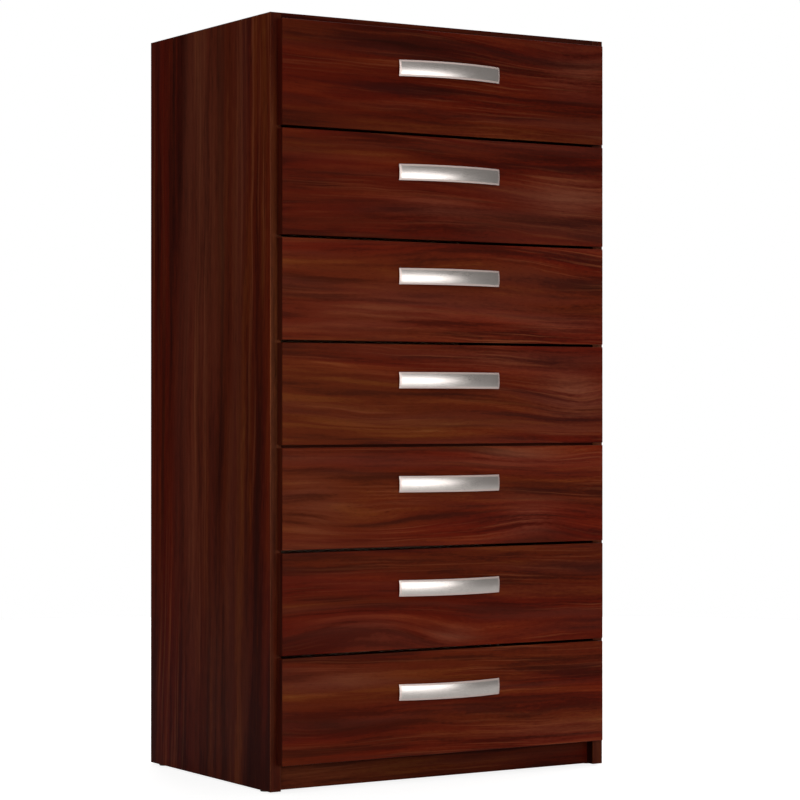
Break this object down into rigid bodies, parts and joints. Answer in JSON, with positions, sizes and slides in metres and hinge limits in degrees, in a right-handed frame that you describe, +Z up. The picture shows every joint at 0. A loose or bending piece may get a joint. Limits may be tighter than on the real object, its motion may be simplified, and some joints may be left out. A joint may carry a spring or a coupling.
{
  "type": "tall chest of drawers",
  "caption": "Tall narrow chest with a stack of full-width sliding drawers, bowed strip handles, a recessed plinth and grooved drawer boxes on plastic runner strips.",
  "frame": {"origin": "on the floor, at the centre of the chest's footprint with its handles", "axes": "+Z up; the drawer fronts face -Y and the drawers slide out along -Y; +X to the right as seen from the front is the chest's right side panel"},
  "size_m": [0.6, 0.4268, 1.144],
  "materials": {
    "carcass_laminate": "dark mahogany wood-grain laminate, satin, grain upright",
    "front_laminate": "dark mahogany wood-grain laminate, satin, grain level",
    "handle_metal": "satin anodised, brushed along the length",
    "drawer_foil": "particle board wrapped in pale grey foil, matt",
    "drawer_bottom_board": "hardboard with a pale grey printed face, matt",
    "hardboard": "bare brown hardboard, fibrous, matt",
    "joint_strip_plastic": "dark extruded plastic",
    "runner_plastic": "smooth off-white plastic",
    "glide_plastic": "dark moulded plastic"
  },
  "bodies": {
    "carcass": {"left_side_panel": "carcass_laminate", "right_side_panel": "carcass_laminate", "top_panel": "carcass_laminate", "bottom_panel": "carcass_laminate", "front_plinth": "carcass_laminate", "rear_plinth": "carcass_laminate", "middle_rail": "carcass_laminate", "back_sheet_lower": "hardboard", "back_sheet_upper": "hardboard", "back_joint_strip": "joint_strip_plastic", "glide_front_left": "glide_plastic", "glide_rear_left": "glide_plastic", "glide_front_right": "glide_plastic", "glide_rear_right": "glide_plastic", "drawer_1_left_runner": "runner_plastic", "drawer_1_right_runner": "runner_plastic", "drawer_2_left_runner": "runner_plastic", "drawer_2_right_runner": "runner_plastic", "drawer_3_left_runner": "runner_plastic", "drawer_3_right_runner": "runner_plastic", "drawer_4_left_runner": "runner_plastic", "drawer_4_right_runner": "runner_plastic", "drawer_5_left_runner": "runner_plastic", "drawer_5_right_runner": "runner_plastic", "drawer_6_left_runner": "runner_plastic", "drawer_6_right_runner": "runner_plastic", "drawer_7_left_runner": "runner_plastic", "drawer_7_right_runner": "runner_plastic"},
    "drawer_1": {"drawer_1_front": "front_laminate", "drawer_1_handle": "handle_metal", "drawer_1_box": "drawer_foil", "drawer_1_bottom": "drawer_bottom_board"},
    "drawer_2": {"drawer_2_front": "front_laminate", "drawer_2_handle": "handle_metal", "drawer_2_box": "drawer_foil", "drawer_2_bottom": "drawer_bottom_board"},
    "drawer_3": {"drawer_3_front": "front_laminate", "drawer_3_handle": "handle_metal", "drawer_3_box": "drawer_foil", "drawer_3_bottom": "drawer_bottom_board"},
    "drawer_4": {"drawer_4_front": "front_laminate", "drawer_4_handle": "handle_metal", "drawer_4_box": "drawer_foil", "drawer_4_bottom": "drawer_bottom_board"},
    "drawer_5": {"drawer_5_front": "front_laminate", "drawer_5_handle": "handle_metal", "drawer_5_box": "drawer_foil", "drawer_5_bottom": "drawer_bottom_board"},
    "drawer_6": {"drawer_6_front": "front_laminate", "drawer_6_handle": "handle_metal", "drawer_6_box": "drawer_foil", "drawer_6_bottom": "drawer_bottom_board"},
    "drawer_7": {"drawer_7_front": "front_laminate", "drawer_7_handle": "handle_metal", "drawer_7_box": "drawer_foil", "drawer_7_bottom": "drawer_bottom_board"}
  },
  "joints": [
    {"name": "drawer_1_slide", "type": "slide", "parent": "carcass", "child": "drawer_1", "axis": [0, -1, 0], "range_m": [0, 0.245]},
    {"name": "drawer_2_slide", "type": "slide", "parent": "carcass", "child": "drawer_2", "axis": [0, -1, 0], "range_m": [0, 0.245]},
    {"name": "drawer_3_slide", "type": "slide", "parent": "carcass", "child": "drawer_3", "axis": [0, -1, 0], "range_m": [0, 0.245]},
    {"name": "drawer_4_slide", "type": "slide", "parent": "carcass", "child": "drawer_4", "axis": [0, -1, 0], "range_m": [0, 0.245]},
    {"name": "drawer_5_slide", "type": "slide", "parent": "carcass", "child": "drawer_5", "axis": [0, -1, 0], "range_m": [0, 0.245]},
    {"name": "drawer_6_slide", "type": "slide", "parent": "carcass", "child": "drawer_6", "axis": [0, -1, 0], "range_m": [0, 0.245]},
    {"name": "drawer_7_slide", "type": "slide", "parent": "carcass", "child": "drawer_7", "axis": [0, -1, 0], "range_m": [0, 0.245]}
  ]
}
